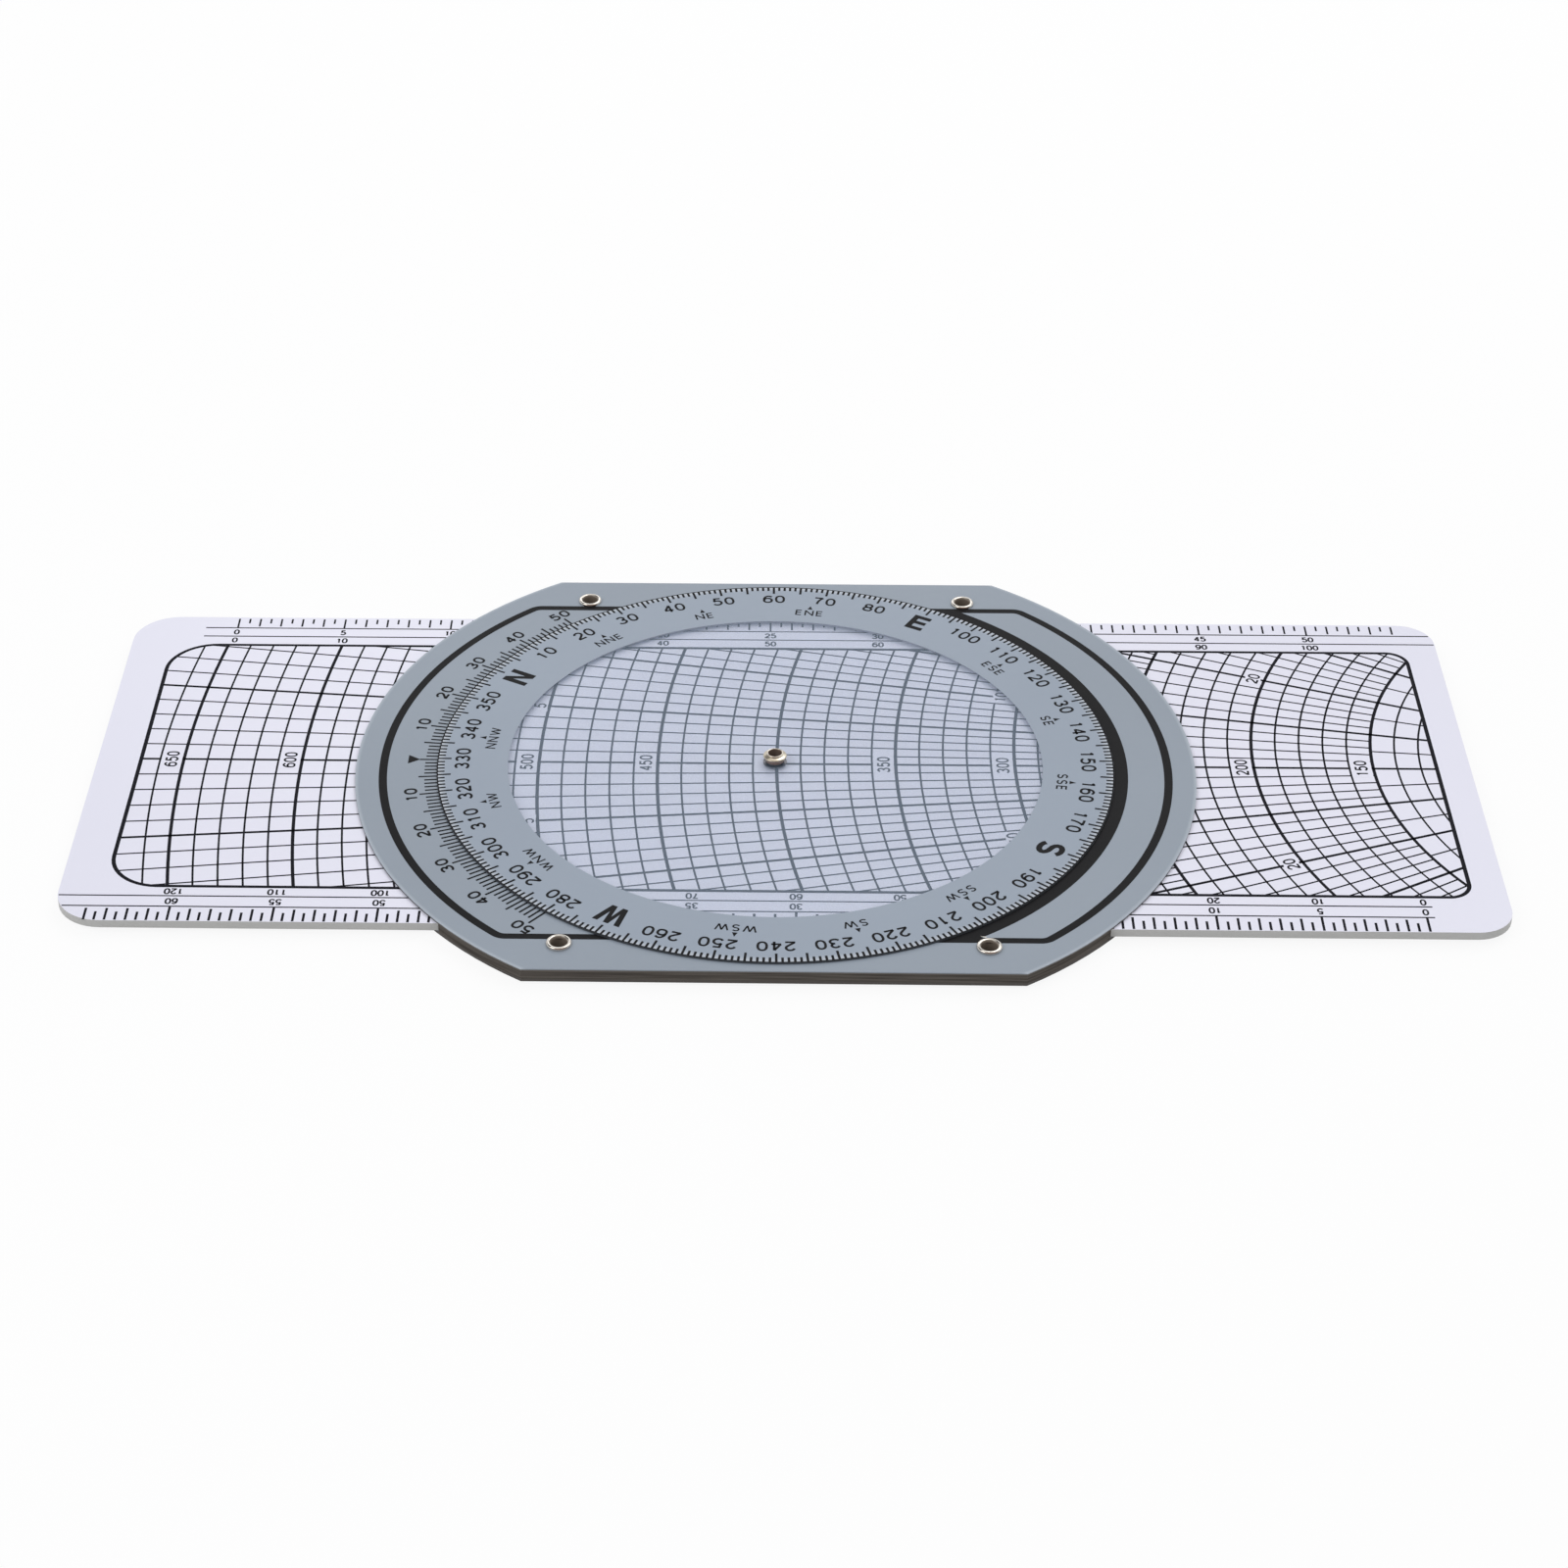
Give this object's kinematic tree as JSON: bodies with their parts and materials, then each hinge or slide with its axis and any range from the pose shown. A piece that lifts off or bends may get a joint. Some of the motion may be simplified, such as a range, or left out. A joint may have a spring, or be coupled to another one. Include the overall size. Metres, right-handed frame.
{
  "type": "flight computer",
  "caption": "Pocket flight computer: a sliding wind-grid card in a round frame, with a turning compass disc on the front and a slide-rule disc on the back.",
  "frame": {"origin": "under the common centre of the two discs, in the plane that the four eyelet feet rest on", "axes": "+X along the slide card towards its low-speed end, +Y across the card, +Z out of the wind side"},
  "size_m": [0.2244, 0.1138, 0.0047],
  "materials": {
    "card_white": "semi-gloss laminated card, printed both sides",
    "plate_grey": "blue-grey satin sheet",
    "fibre_brown": "raw cut edge of fibre board",
    "disc_clear": "clear sheet, frosted in the middle, grey behind the compass ring",
    "disc_grey": "satin sheet",
    "eyelet_nickel": "nickel-plated brass, slightly worn",
    "washer_brass": "dull pale brass"
  },
  "bodies": {
    "frame": {"wind_plate": "plate_grey", "calculator_plate": "plate_grey", "far_spacer": "fibre_brown", "near_spacer": "fibre_brown", "frame_eyelet_far_left": "eyelet_nickel", "frame_eyelet_far_right": "eyelet_nickel", "frame_eyelet_near_left": "eyelet_nickel", "frame_eyelet_near_right": "eyelet_nickel", "calculator_pivot_eyelet": "eyelet_nickel", "calculator_pivot_washer": "washer_brass"},
    "slide": {"slide_card": "card_white"},
    "azimuth": {"azimuth_disc": "disc_clear", "azimuth_hub_ring": "plate_grey", "azimuth_retainer": "plate_grey", "azimuth_grommet": "eyelet_nickel", "azimuth_grommet_washer": "washer_brass"},
    "calculator": {"calculator_disc": "disc_grey"}
  },
  "joints": [
    {"name": "card_slide", "type": "slide", "parent": "frame", "child": "slide", "axis": [1, 0, 0], "range_m": [-0.106, 0.101]},
    {"name": "azimuth_turn", "type": "hinge", "parent": "frame", "child": "azimuth", "pos_m": [0, 0, 0.00307], "axis": [0, 0, 1], "continuous": true},
    {"name": "calculator_turn", "type": "hinge", "parent": "frame", "child": "calculator", "pos_m": [0, 0, 0.00038], "axis": [0, 0, 1], "continuous": true}
  ]
}
